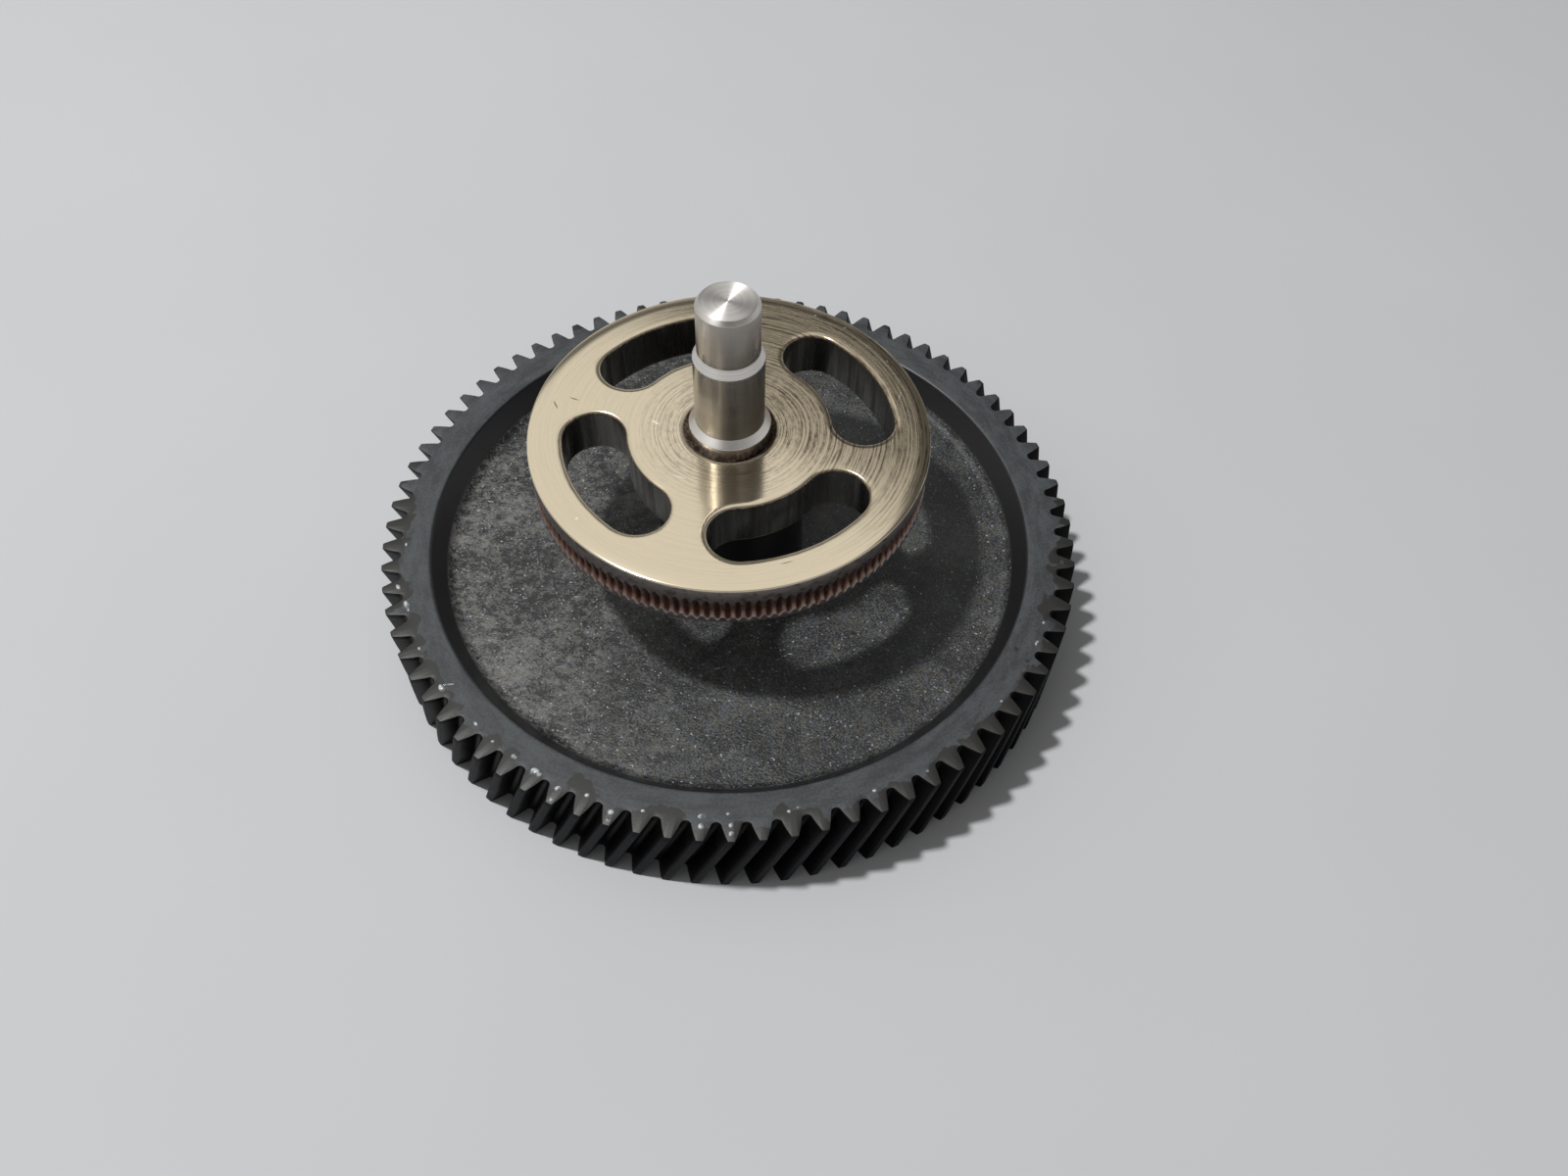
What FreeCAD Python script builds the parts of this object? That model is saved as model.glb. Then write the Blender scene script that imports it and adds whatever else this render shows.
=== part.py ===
import FreeCAD, Part
import Sketcher
import math
import os

# Extruder gear: a moulded helical gear with a long hub, a stepped steel shaft through it and a
# slotted steel drive wheel with fine cut teeth round its edge, seated on the hub.
# The origin is the centre of the gear's lower face and +Z runs along the shaft. Millimetres.

doc = FreeCAD.newDocument("extruder_gear")

# driving sizes, each written once
sizes = [
    ("gear_teeth", 80, "teeth of the helical gear"),
    ("gear_module", 0.5, "normal module"),
    ("helix_angle", 20, "right-hand helix at the pitch circle, degrees"),
    ("pressure_angle", 20, "normal pressure angle, degrees"),
    ("gear_width", 5.8, "face width of the gear"),
    ("tooth_phase", 3.44, "direction of one tooth tip on the upper face, degrees"),
    ("recess_depth", 1.75, "depth of the recess on either side of the web"),
    ("recess_radius", 18.85, "recess at the rim's face"),
    ("recess_slope", 32, "slope of the recess wall from upright, degrees"),
    ("recess_fillet", 0.6, "round between the recess wall and the web"),
    ("rim_round", 0.3, "round on the rim's inner edge"),
    ("tooth_backing", 0.5, "rim inside the tooth roots that belongs to the tooth ring"),
    ("hub_radius", 4.5, "hub of the gear"),
    ("hub_height", 11.55, "upper end of the hub, where the wheel sits"),
    ("hub_fillet", 0.5, "round between the hub and the web"),
    ("wheel_radius", 11.66, "outer radius of the drive wheel"),
    ("wheel_width", 3.0, "thickness of the drive wheel"),
    ("wheel_chamfer", 0.12, "chamfer on the wheel's outer edges"),
    ("bore_chamfer", 0.35, "chamfer at the wheel's bore"),
    ("fine_teeth", 130, "teeth cut round the wheel"),
    ("fine_middle", 1.82, "middle of the fine teeth below the wheel's face"),
    ("fine_length", 1.72, "length of a fine tooth space"),
    ("fine_depth", 0.42, "depth of a fine tooth space in the middle"),
    ("gullet_width", 0.62, "share of the fine pitch that a space takes"),
    ("channel_length", 1.2, "length of the hollow that the strand runs in"),
    ("channel_depth", 0.16, "depth of that hollow"),
    ("fine_step", 0.02, "step from the plain land to the tooth crests"),
    ("fine_backing", 0.9, "wheel inside the edge that belongs to the fine tooth ring"),
    ("slot_count", 4, "curved slots in the wheel"),
    ("slot_radius", 7.82, "radius of the slots' middle line"),
    ("slot_width", 3.66, "width of a slot"),
    ("slot_half_turn", 22.7, "angle from a slot's middle to its end centre, degrees"),
    ("slot_direction", 30.3, "direction of one slot's middle, degrees"),
    ("slot_chamfer", 0.1, "chamfer on the slots' edges"),
    ("collar_radius", 2.36, "shaft where the gear and the wheel are pressed on"),
    ("collar_stand", 0.62, "collar above the wheel's face, up to its bevel"),
    ("collar_bevel", 0.42, "height of the collar's bevel"),
    ("journal_radius", 2.0, "running part of the shaft"),
    ("journal_end", 20.2, "upper end of the running part"),
    ("step_bevel", 0.5, "height of the bevel above the running part"),
    ("tip_radius", 1.75, "upper part of the shaft"),
    ("shaft_top", 23.95, "upper end of the shaft"),
    ("shaft_bottom", 0.15, "lower end of the shaft above the gear's lower face"),
    ("end_chamfer", 0.22, "chamfer on the shaft's ends"),
    ("press_clearance", 0.01, "room between the shaft and the bores that it is pressed into"),
]
sheet = doc.addObject("Spreadsheet::Sheet", "Sizes")
for row, (alias, value, note) in enumerate(sizes, start=1):
    sheet.set("A%d" % row, note)
    sheet.set("B%d" % row, str(value))
    sheet.setAlias("B%d" % row, alias)
doc.recompute()


def size(alias):
    return float(sheet.get(alias))


def origin_plane(body, role):
    for feature in body.Origin.OriginFeatures:
        if feature.Role == role:
            return feature


def add_sketch(body, name, role):
    sketch = body.newObject("Sketcher::SketchObject", name)
    sketch.AttachmentSupport = [(origin_plane(body, role), "")]
    sketch.MapMode = "FlatFace"
    return sketch


def value_of(sketch, expression):
    result = sketch.evalExpression(expression)
    return float(getattr(result, "Value", result))


def closed_profile(sketch, corners):
    # each corner is a pair of expressions, and "0" puts it on that axis
    points = [FreeCAD.Vector(value_of(sketch, a), value_of(sketch, b), 0) for a, b in corners]
    first = sketch.GeometryCount
    for i, point in enumerate(points):
        sketch.addGeometry(Part.LineSegment(point, points[(i + 1) % len(points)]), False)
    for i in range(len(points)):
        following = first + (i + 1) % len(points)
        sketch.addConstraint(Sketcher.Constraint("Coincident", first + i, 2, following, 1))
    for i, (across, along) in enumerate(corners):
        for kind, axis, text, value in (("DistanceX", -2, across, points[i].x), ("DistanceY", -1, along, points[i].y)):
            if text == "0":
                sketch.addConstraint(Sketcher.Constraint("PointOnObject", first + i, 1, axis))
            else:
                number = sketch.addConstraint(Sketcher.Constraint(kind, -1, 1, first + i, 1, value))
                sketch.setExpression("Constraints[%d]" % number, text)
    return sketch


def turned(body, kind, name, corners):
    # a section in the XZ plane turned all the way round the Z axis
    sketch = closed_profile(add_sketch(body, name + "_section", "XZ_Plane"), corners)
    feature = body.newObject(kind, name)
    feature.Profile = sketch
    feature.ReferenceAxis = (sketch, ["V_Axis"])
    feature.Angle = 360.0
    feature.Refine = False
    return feature


def ring_edges(shape, radius, height):
    # names of the round edges about the Z axis with this radius and height
    names = []
    for number, edge in enumerate(shape.Edges, start=1):
        curve = edge.Curve
        if isinstance(curve, Part.Circle) and abs(curve.Radius - radius) < 1e-3:
            centre = curve.Center
            if abs(centre.z - height) < 1e-3 and math.hypot(centre.x, centre.y) < 1e-3:
                names.append("Edge%d" % number)
    return names


def edge_feature(body, kind, name, base, names, expression):
    if not names:
        raise RuntimeError(name + ": no edge found")
    feature = body.newObject(kind, name)
    feature.Base = (base, names)
    feature.setExpression("Radius" if kind.endswith("Fillet") else "Size", expression)
    feature.Refine = False
    return feature


def tooth_ring(body, name, outlines, placing, inner_radius):
    # outlines are closed rings of points, placing gives the height and turn of each as expressions
    sketches = []
    for number, (outline, (height, turn)) in enumerate(zip(outlines, placing), start=1):
        sketch = add_sketch(body, "%s_outline_%d" % (name, number), "XY_Plane")
        lines = [Part.LineSegment(a, b) for a, b in zip(outline, outline[1:] + outline[:1])]
        sketch.addGeometry(lines, False)
        centre = FreeCAD.Vector(0, 0, 0)
        radius = value_of(sketch, inner_radius)
        inside = sketch.addGeometry(Part.Circle(centre, FreeCAD.Vector(0, 0, 1), radius), False)
        sketch.addConstraint(Sketcher.Constraint("Coincident", inside, 3, -1, 1))
        bound = sketch.addConstraint(Sketcher.Constraint("Radius", inside, radius))
        sketch.setExpression("Constraints[%d]" % bound, inner_radius)
        sketch.setExpression(".AttachmentOffset.Base.z", height)
        sketch.setExpression(".AttachmentOffset.Rotation.Angle", turn)
        sketches.append(sketch)
    loft = body.newObject("PartDesign::AdditiveLoft", name)
    loft.Profile = sketches[0]
    loft.Sections = sketches[1:]
    loft.Ruled = True
    loft.Closed = False
    loft.Refine = False
    return loft


# stepped shaft, turned in one piece
shaft = doc.addObject("PartDesign::Body", "shaft_body")
shaft.Label = "shaft"
wheel_face = "(Sizes.hub_height + Sizes.wheel_width)"
collar_top = "(" + wheel_face + " + Sizes.collar_stand)"
shaft_section = [
    ("0", "Sizes.shaft_bottom"),
    ("Sizes.collar_radius - Sizes.end_chamfer", "Sizes.shaft_bottom"),
    ("Sizes.collar_radius", "Sizes.shaft_bottom + Sizes.end_chamfer"),
    ("Sizes.collar_radius", collar_top),
    ("Sizes.journal_radius", collar_top + " + Sizes.collar_bevel"),
    ("Sizes.journal_radius", "Sizes.journal_end"),
    ("Sizes.tip_radius", "Sizes.journal_end + Sizes.step_bevel"),
    ("Sizes.tip_radius", "Sizes.shaft_top - Sizes.end_chamfer"),
    ("Sizes.tip_radius - Sizes.end_chamfer", "Sizes.shaft_top"),
    ("0", "Sizes.shaft_top"),
]
turned(shaft, "PartDesign::Revolution", "shaft_turned", shaft_section)

# one tooth of the helical gear in the plane across its axis
teeth = int(size("gear_teeth"))
module = size("gear_module")
helix = math.radians(size("helix_angle"))
cross_pressure = math.atan(math.tan(math.radians(size("pressure_angle"))) / math.cos(helix))
pitch_radius = teeth * module / math.cos(helix) / 2
base_radius = pitch_radius * math.cos(cross_pressure)
tip_circle = pitch_radius + module
root_circle = pitch_radius - 1.25 * module


def involute(angle):
    return math.tan(angle) - angle


def half_tooth(radius):
    # half the tooth's angle at a radius on its involute flank
    at_pitch = math.pi / (2 * teeth)
    flank = math.acos(min(1.0, base_radius / radius))
    return at_pitch + involute(cross_pressure) - involute(flank)


def polar(radius, angle):
    return FreeCAD.Vector(radius * math.cos(angle), radius * math.sin(angle), 0)


tooth_pitch = 2 * math.pi / teeth
root_half_space = tooth_pitch / 2 - half_tooth(root_circle)
flank_marks = [
    (root_circle, tooth_pitch / 2 - 0.42 * root_half_space),
    (root_circle + 0.3 * module, half_tooth(root_circle + 0.3 * module)),
    (pitch_radius + 0.1 * module, half_tooth(pitch_radius + 0.1 * module)),
    (tip_circle, half_tooth(tip_circle)),
]
gear_outline = []
for tooth in range(teeth):
    middle = tooth * tooth_pitch
    gear_outline += [polar(radius, middle - half) for radius, half in flank_marks]
    gear_outline += [polar(radius, middle + half) for radius, half in reversed(flank_marks)]

# helical gear: rim, web and hub turned about the axis, rounds in the corners, then the tooth ring
gear = doc.addObject("PartDesign::Body", "gear_body")
gear.Label = "helical_gear"
gear_bore = "(Sizes.collar_radius + Sizes.press_clearance)"
pitch_text = "Sizes.gear_teeth * Sizes.gear_module / (2 * cos(Sizes.helix_angle))"
rim_core = "(" + pitch_text + " - 1.25 * Sizes.gear_module - Sizes.tooth_backing)"
recess_foot = "(Sizes.recess_radius - Sizes.recess_depth * tan(Sizes.recess_slope))"
upper_web = "(Sizes.gear_width - Sizes.recess_depth)"
gear_blank = turned(gear, "PartDesign::Revolution", "gear_blank", [
    (gear_bore, "0"),
    ("Sizes.hub_radius", "0"),
    ("Sizes.hub_radius", "Sizes.recess_depth"),
    (recess_foot, "Sizes.recess_depth"),
    ("Sizes.recess_radius", "0"),
    (rim_core, "0"),
    (rim_core, "Sizes.gear_width"),
    ("Sizes.recess_radius", "Sizes.gear_width"),
    (recess_foot, upper_web),
    ("Sizes.hub_radius", upper_web),
    ("Sizes.hub_radius", "Sizes.hub_height"),
    (gear_bore, "Sizes.hub_height"),
])
doc.recompute()
gear_width = size("gear_width")
recess_depth = size("recess_depth")
foot_radius = size("recess_radius") - recess_depth * math.tan(math.radians(size("recess_slope")))
web_heights = (gear_width - recess_depth, recess_depth)
corners = [name for height in web_heights for name in ring_edges(gear_blank.Shape, foot_radius, height)]
web_round = edge_feature(gear, "PartDesign::Fillet", "web_round", gear_blank, corners, "Sizes.recess_fillet")
doc.recompute()
corners = [name for height in web_heights for name in ring_edges(web_round.Shape, size("hub_radius"), height)]
hub_round = edge_feature(gear, "PartDesign::Fillet", "hub_round", web_round, corners, "Sizes.hub_fillet")
doc.recompute()
corners = [name for height in (gear_width, 0.0) for name in ring_edges(hub_round.Shape, size("recess_radius"), height)]
edge_feature(gear, "PartDesign::Fillet", "rim_edge_round", hub_round, corners, "Sizes.rim_round")
twist = "180 / pi * tan(Sizes.helix_angle) / (" + pitch_text + ")"
placing = [
    ("0 * Sizes.gear_width", "Sizes.tooth_phase - Sizes.gear_width * " + twist),
    ("Sizes.gear_width", "Sizes.tooth_phase + 0 * Sizes.gear_width"),
]
gear.Tip = tooth_ring(gear, "helical_teeth", [gear_outline] * 2, placing, rim_core)

# outlines of the fine teeth: plain crests with rounded-off spaces between them
fine_teeth = int(size("fine_teeth"))
fine_pitch = 2 * math.pi / fine_teeth
crest_radius = size("wheel_radius") - size("fine_step")


def hollow_depth(offset, length, depth):
    # depth of a round hollow at a distance from its middle
    if abs(offset) >= length / 2:
        return 0.0
    hollow_radius = (length ** 2 / 4 + depth ** 2) / (2 * depth)
    return math.sqrt(hollow_radius ** 2 - offset ** 2) - (hollow_radius - depth)


fine_levels = [-0.5, -0.36, 0.0, 0.36, 0.5]
fine_outlines = []
for level in fine_levels:
    offset = level * size("fine_length")
    crest = crest_radius - hollow_depth(offset, size("channel_length"), size("channel_depth"))
    run_out = math.sqrt(max(0.0, 1 - (2 * level) ** 2))
    gullet = crest_radius - 0.02 - hollow_depth(offset, size("fine_length") * 1.02, size("fine_depth"))
    half_space = fine_pitch * size("gullet_width") / 2 * (0.25 + 0.75 * run_out)
    outline = []
    for tooth in range(fine_teeth):
        middle = (tooth + 0.5) * fine_pitch
        outline += [polar(crest, middle - half_space), polar(gullet, middle), polar(crest, middle + half_space)]
    fine_outlines.append(outline)

# drive wheel: turned disc with a channel for the fine tooth ring, slots with broken edges, teeth
wheel = doc.addObject("PartDesign::Body", "wheel_body")
wheel.Label = "drive_wheel"
fine_place = "(" + wheel_face + " - Sizes.fine_middle)"
teeth_top = "(" + fine_place + " + Sizes.fine_length / 2)"
teeth_foot = "(" + fine_place + " - Sizes.fine_length / 2)"
wheel_core = "(Sizes.wheel_radius - Sizes.fine_backing)"
wheel_bore = "(Sizes.collar_radius + Sizes.press_clearance)"
turned(wheel, "PartDesign::Revolution", "wheel_blank", [
    (wheel_bore, "Sizes.hub_height"),
    ("Sizes.wheel_radius - Sizes.wheel_chamfer", "Sizes.hub_height"),
    ("Sizes.wheel_radius", "Sizes.hub_height + Sizes.wheel_chamfer"),
    ("Sizes.wheel_radius", teeth_foot),
    (wheel_core, teeth_foot),
    (wheel_core, teeth_top),
    ("Sizes.wheel_radius", teeth_top),
    ("Sizes.wheel_radius", wheel_face + " - Sizes.wheel_chamfer"),
    ("Sizes.wheel_radius - Sizes.wheel_chamfer", wheel_face),
    (wheel_bore + " + Sizes.bore_chamfer", wheel_face),
    (wheel_bore, wheel_face + " - Sizes.bore_chamfer"),
])

# one sketch with all the curved slots, each made of four arcs
slots = add_sketch(wheel, "slot_outlines", "XY_Plane")
slots.setExpression(".AttachmentOffset.Base.z", wheel_face)
slot_count = int(size("slot_count"))
middle_radius = size("slot_radius")
half_width = size("slot_width") / 2
half_turn = math.radians(size("slot_half_turn"))
for number in range(slot_count):
    direction = math.radians(size("slot_direction")) + number * 2 * math.pi / slot_count
    start, end = direction - half_turn, direction + half_turn
    up = FreeCAD.Vector(0, 0, 1)
    centre = FreeCAD.Vector(0, 0, 0)
    first = slots.GeometryCount
    slots.addGeometry([
        Part.ArcOfCircle(Part.Circle(centre, up, middle_radius + half_width), start, end),
        Part.ArcOfCircle(Part.Circle(polar(middle_radius, end), up, half_width), end, end + math.pi),
        Part.ArcOfCircle(Part.Circle(centre, up, middle_radius - half_width), start, end),
        Part.ArcOfCircle(Part.Circle(polar(middle_radius, start), up, half_width), start + math.pi, start + 2 * math.pi),
    ], False)
    for one, end_one, other, end_other in ((0, 2, 1, 1), (1, 2, 2, 2), (2, 1, 3, 1), (3, 2, 0, 1)):
        slots.addConstraint(Sketcher.Constraint("Coincident", first + one, end_one, first + other, end_other))
slot_cut = wheel.newObject("PartDesign::Pocket", "slots")
slot_cut.Profile = slots
slot_cut.Type = "Length"
slot_cut.setExpression("Length", "Sizes.wheel_width")
slot_cut.Refine = False
doc.recompute()
top_of_wheel = size("hub_height") + size("wheel_width")
slot_edges = []
for number, edge in enumerate(slot_cut.Shape.Edges, start=1):
    curve = edge.Curve
    if not isinstance(curve, Part.Circle):
        continue
    level = curve.Center.z
    if min(abs(level - top_of_wheel), abs(level - size("hub_height"))) > 1e-3:
        continue
    reach = math.hypot(edge.CenterOfMass.x, edge.CenterOfMass.y)
    if size("collar_radius") + 1.5 < reach < size("wheel_radius") - 0.5 and not edge.isClosed():
        slot_edges.append("Edge%d" % number)
edge_feature(wheel, "PartDesign::Chamfer", "slot_chamfers", slot_cut, slot_edges, "Sizes.slot_chamfer")
placing = [("%s + %.2f * Sizes.fine_length" % (fine_place, level), "0 * Sizes.slot_direction") for level in fine_levels]
wheel.Tip = tooth_ring(wheel, "fine_tooth_ring", fine_outlines, placing, wheel_core)

doc.recompute()
for item in doc.Objects:
    if "Invalid" in item.State or "Error" in item.State:
        raise RuntimeError("%s failed: %s" % (item.Name, item.State))
os.makedirs("parts", exist_ok=True)
for body in (gear, shaft, wheel):
    shape = body.Shape
    if shape.isNull() or not shape.isValid() or len(shape.Solids) != 1:
        raise RuntimeError(body.Label + " is not one valid solid")
    print(body.Label, "volume %.2f" % shape.Volume, "faces", len(shape.Faces), shape.BoundBox)
for body in (gear, shaft, wheel):
    body.Shape.exportStep("parts/%s.step" % body.Label)
print("built")
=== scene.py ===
import math
import bpy
import bmesh
from mathutils import Matrix, Vector, noise


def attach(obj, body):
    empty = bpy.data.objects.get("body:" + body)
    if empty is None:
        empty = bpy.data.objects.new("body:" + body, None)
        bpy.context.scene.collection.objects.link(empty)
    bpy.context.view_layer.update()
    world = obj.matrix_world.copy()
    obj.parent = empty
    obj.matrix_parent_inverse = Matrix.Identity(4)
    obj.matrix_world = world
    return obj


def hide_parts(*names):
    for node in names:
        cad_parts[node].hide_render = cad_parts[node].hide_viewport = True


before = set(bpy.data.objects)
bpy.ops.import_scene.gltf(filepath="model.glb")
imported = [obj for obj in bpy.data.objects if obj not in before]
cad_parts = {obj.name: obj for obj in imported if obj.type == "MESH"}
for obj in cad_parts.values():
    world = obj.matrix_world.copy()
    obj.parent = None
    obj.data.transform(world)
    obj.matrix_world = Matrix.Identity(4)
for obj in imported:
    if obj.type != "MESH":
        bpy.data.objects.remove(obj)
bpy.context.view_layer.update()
mm = 0.001
print("frame loaded:", sorted(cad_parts))


def hexColor(code):
    # sRGB hex to the linear numbers that the shader wants
    parts = [int(code[i:i + 2], 16) / 255 for i in (1, 3, 5)]
    return tuple(c / 12.92 if c <= 0.04045 else ((c + 0.055) / 1.055) ** 2.4 for c in parts) + (1.0,)


def addNode(tree, kind, settings=None, links=None, out=0):
    # settings fill properties or sockets, links join sockets, and the answer is the output asked for;
    # a number names a socket: 1 to 4 of a MapRange are from low, from high, to low and to high,
    # and a Mix has its share at 0, two numbers at 2 and 3 and two colours at 6 and 7
    node = tree.nodes.new("ShaderNode" + kind)
    for key, value in (settings or {}).items():
        if isinstance(key, int) or key in node.inputs:
            node.inputs[key].default_value = value
        else:
            setattr(node, key, value)
    for key, source in (links or {}).items():
        tree.links.new(source, node.inputs[key])
    return node.outputs[out] if len(node.outputs) else node


# settings that many nodes share
smooth = {"interpolation_type": "SMOOTHSTEP"}
times = {"operation": "MULTIPLY"}
plus = {"operation": "ADD"}
dot = {"operation": "DOT_PRODUCT"}
colorMix = {"data_type": "RGBA"}


def startMaterial(name):
    material = bpy.data.materials.new(name)
    material.use_nodes = True
    material.node_tree.nodes.clear()
    return material, material.node_tree


def placeOnPart(tree):
    # where a point lies: in millimetres, without its height, as a direction from the shaft's axis,
    # its distance from that axis, and its height above the gear's lower face
    point = addNode(tree, "TexCoord", out="Object")
    inMm = addNode(tree, "VectorMath", {"operation": "SCALE", "Scale": 1 / mm}, {0: point})
    flat = addNode(tree, "VectorMath", {**times, 1: (1, 1, 0)}, {0: inMm})
    return {"inMm": inMm, "flat": flat,
            "around": addNode(tree, "VectorMath", {"operation": "NORMALIZE"}, {0: flat}),
            "radius": addNode(tree, "VectorMath", {"operation": "LENGTH"}, {0: flat}, out="Value"),
            "height": addNode(tree, "SeparateXYZ", {}, {0: inMm}, out=2)}


def ringPlace(tree, at, turn, apart):
    # where a pattern reads that is drawn out round the axis: turn is its marks to a radian,
    # and apart is the millimetres from one ring of marks to the next
    drawn = addNode(tree, "VectorMath", {"operation": "SCALE", "Scale": turn}, {0: at["around"]})
    outward = addNode(tree, "Math", {**times, 1: 1 / apart}, {0: at["radius"]})
    rise = addNode(tree, "CombineXYZ", {}, {2: outward})
    return addNode(tree, "VectorMath", plus, {0: drawn, 1: rise})


# on the web the pale left-side colour is a painted sheen and the pale specks are painted glints; on the
# wheel's edge the dark brown is dust
gearLook = {"dark": "#101112", "grainOlive": "#5c594f", "grainBlue": "#51575e", "dustAndSheen": "#8a8883",
            "glintSpeck": "#b4b6b8", "rim": "#2b2d30", "dusty": "#45494b", "wall": "#0e0e10", "grease": "#1a1915",
            "grainMm": 0.11, "crinkleMm": 0.4167, "glintSpeckMm": 0.1375, "hueMm": 0.275, "flowMm": 3.333,
            "wipeTurn": 9.0, "wipeMm": 0.625, "filmMm": 2.381,
            "webRadius": 17.95, "webHeight": 4.3, "wallRadius": 18.8, "filmRadius": 20.55}


def acetalMoulded():
    # black acetal straight from its mould: satin rim, and a spark-eroded web whose glitter is painted in
    # grain by grain as pale specks, with a painted sheen on its left
    look = gearLook
    material, tree = startMaterial("acetalBlackMoulded")
    at = placeOnPart(tree)
    inMm, radius, height = at["inMm"], at["radius"], at["height"]
    webEdge = {1: look["webRadius"] + 0.25, 2: look["webRadius"]}
    inside = addNode(tree, "MapRange", {**smooth, **webEdge}, {0: radius})
    webTop = {1: look["webHeight"] + 0.3, 2: look["webHeight"]}
    under = addNode(tree, "MapRange", {**smooth, **webTop}, {0: height})
    web = addNode(tree, "Math", times, {0: inside, 1: under})
    # the web: grains a little coarser than the real 0.1 mm so that they show, and crinkles drawn out one way
    drawn = addNode(tree, "Mapping", {"Rotation": (0, 0, 0.35), "Scale": (0.8, 1.0, 1.0)}, {"Vector": inMm})
    flow = addNode(tree, "TexNoise", {"Scale": 1 / look["flowMm"], "Detail": 4.0, "Roughness": 0.6,
                                      "Distortion": 0.8}, {"Vector": inMm})
    grain = addNode(tree, "TexNoise", {"Scale": 1 / look["grainMm"], "Detail": 1.5, "Roughness": 0.6,
                                       "Distortion": 0.2}, {"Vector": drawn})
    crinkle = addNode(tree, "TexNoise", {"Scale": 1 / look["crinkleMm"], "Detail": 3.0, "Roughness": 0.65,
                                         "Distortion": 0.6}, {"Vector": drawn})
    # pale specks painted in as the glints of single grains: painted highlights
    glintSpecks = addNode(tree, "TexNoise", {"Scale": 1 / look["glintSpeckMm"], "Detail": 0.0}, {"Vector": inMm})
    hue = addNode(tree, "TexNoise", {"Scale": 1 / look["hueMm"], "Detail": 2.0}, {"Vector": inMm})
    # on the left the crinkles show more than the grains
    sideways = addNode(tree, "SeparateXYZ", {}, {0: inMm}, out=0)
    crinkleShare = addNode(tree, "MapRange", {**smooth, 1: 4.0, 2: -9.0, 3: 0.25, 4: 0.55}, {0: sideways})
    lightness = addNode(tree, "Mix", {}, {0: crinkleShare, 2: grain, 3: crinkle})
    flowLift = addNode(tree, "MapRange", {1: 0.3, 2: 0.7, 3: -0.09, 4: 0.09}, {0: flow})
    lifted = addNode(tree, "Math", plus, {0: lightness, 1: flowLift})
    grainMask = addNode(tree, "MapRange", {1: 0.43, 2: 0.66}, {0: lifted})
    glintSpeckMask = addNode(tree, "MapRange", {**smooth, 1: 0.73, 2: 0.88, 4: 0.9}, {0: glintSpecks})
    hueMask = addNode(tree, "MapRange", {**smooth, 1: 0.38, 2: 0.62}, {0: hue})
    grainHues = {6: hexColor(look["grainOlive"]), 7: hexColor(look["grainBlue"])}
    grainHue = addNode(tree, "Mix", {**colorMix, **grainHues}, {0: hueMask}, out=2)
    grainColor = addNode(tree, "Mix", {**colorMix, 6: hexColor(look["dark"])},
                         {0: grainMask, 7: grainHue}, out=2)
    # the grains at the left of the web are painted paler: a painted sheen where the lamp from the left
    # glances on them
    sheenSide = addNode(tree, "MapRange", {**smooth, 1: 1.0, 2: -14.0, 4: 0.5}, {0: sideways})
    sheenCaught = addNode(tree, "Math", times, {0: sheenSide, 1: grainMask})
    sheened = addNode(tree, "Mix", {**colorMix, 7: hexColor(look["dustAndSheen"])},
                     {0: sheenCaught, 6: grainColor}, out=2)
    # the painted glint specks go over the web's colour
    webColor = addNode(tree, "Mix", {**colorMix, 7: hexColor(look["glintSpeck"])},
                       {0: glintSpeckMask, 6: sheened}, out=2)
    # the rim: greyed by handling, wiped along its length
    wipePlace = ringPlace(tree, at, look["wipeTurn"], look["wipeMm"])
    wipes = addNode(tree, "TexNoise", {"Scale": 1.0, "Detail": 5.0, "Roughness": 0.65}, {"Vector": wipePlace})
    mottle = addNode(tree, "Mix", {0: 0.35}, {2: wipes, 3: grain})
    wipeMask = addNode(tree, "MapRange", {**smooth, 1: 0.38, 2: 0.62}, {0: mottle})
    rimHues = {6: hexColor(look["rim"]), 7: hexColor(look["dusty"])}
    rimColor = addNode(tree, "Mix", {**colorMix, **rimHues}, {0: wipeMask}, out=2)
    # the sloped wall of the recess is polished and stays black
    wallEdge = {1: look["wallRadius"] + 0.15, 2: look["wallRadius"]}
    wallIn = addNode(tree, "MapRange", {**smooth, **wallEdge}, {0: radius})
    wallColor = addNode(tree, "Mix", {**colorMix, 7: hexColor(look["wall"])}, {0: wallIn, 6: rimColor}, out=2)
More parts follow.
